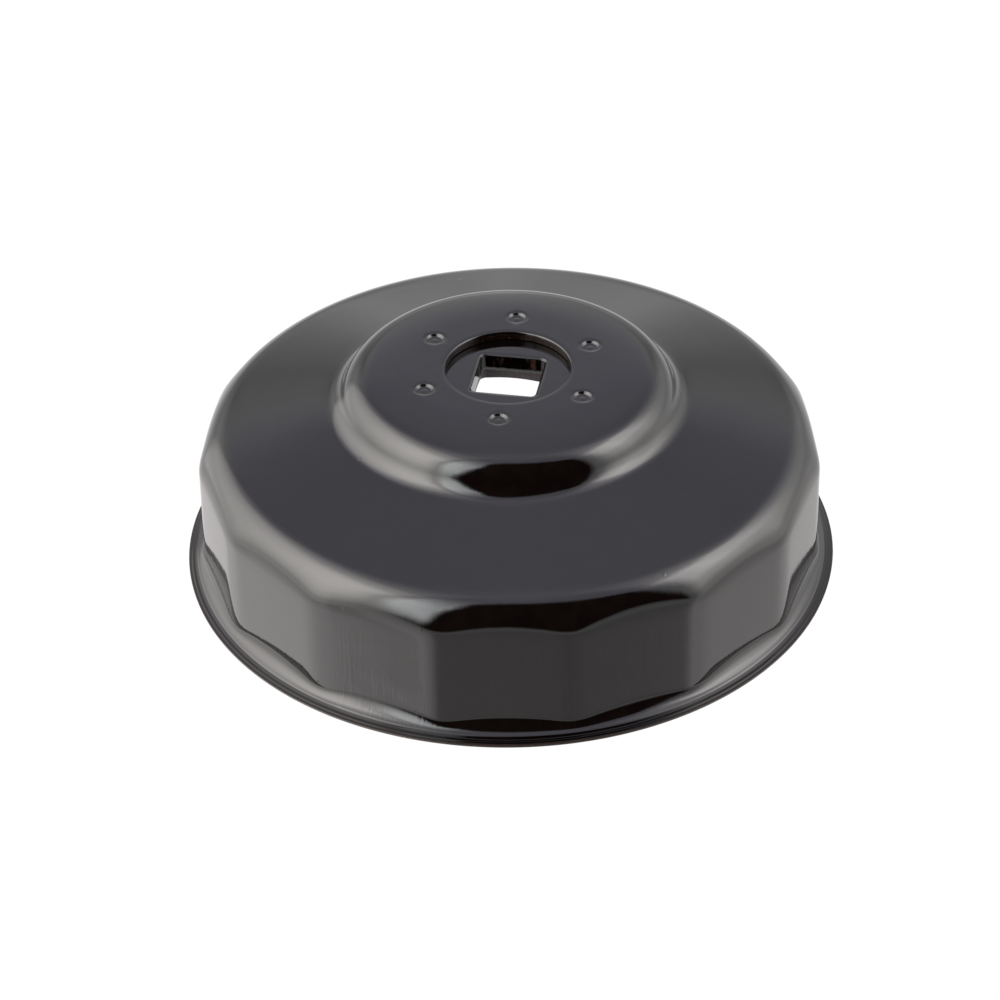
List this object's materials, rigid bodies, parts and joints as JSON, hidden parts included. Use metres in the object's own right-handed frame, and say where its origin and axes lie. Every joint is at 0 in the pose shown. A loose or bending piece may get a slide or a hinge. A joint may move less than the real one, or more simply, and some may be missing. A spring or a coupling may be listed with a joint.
{
  "type": "oil filter wrench",
  "caption": "Cap type oil filter wrench: a pressed cup with inner flats, a turned-out rim and a raised hub over a thick plate with a square drive hole.",
  "frame": {"origin": "centre of the rim's underside, on the axis of the cup", "axes": "+Z along the cup's axis from the open rim to the hub; X and Y along the sides of the square drive hole"},
  "size_m": [0.1, 0.1, 0.0331],
  "materials": {
    "coated_sheet": "gloss black electrophoretic coat over pressed steel sheet",
    "coated_plate": "gloss black electrophoretic coat over punched steel plate",
    "weld_steel": "bare fused steel between sheet and plate"
  },
  "bodies": {
    "root": {"cap_shell": "coated_sheet", "drive_plate": "coated_plate", "weld_nuggets": "weld_steel"}
  },
  "joints": []
}
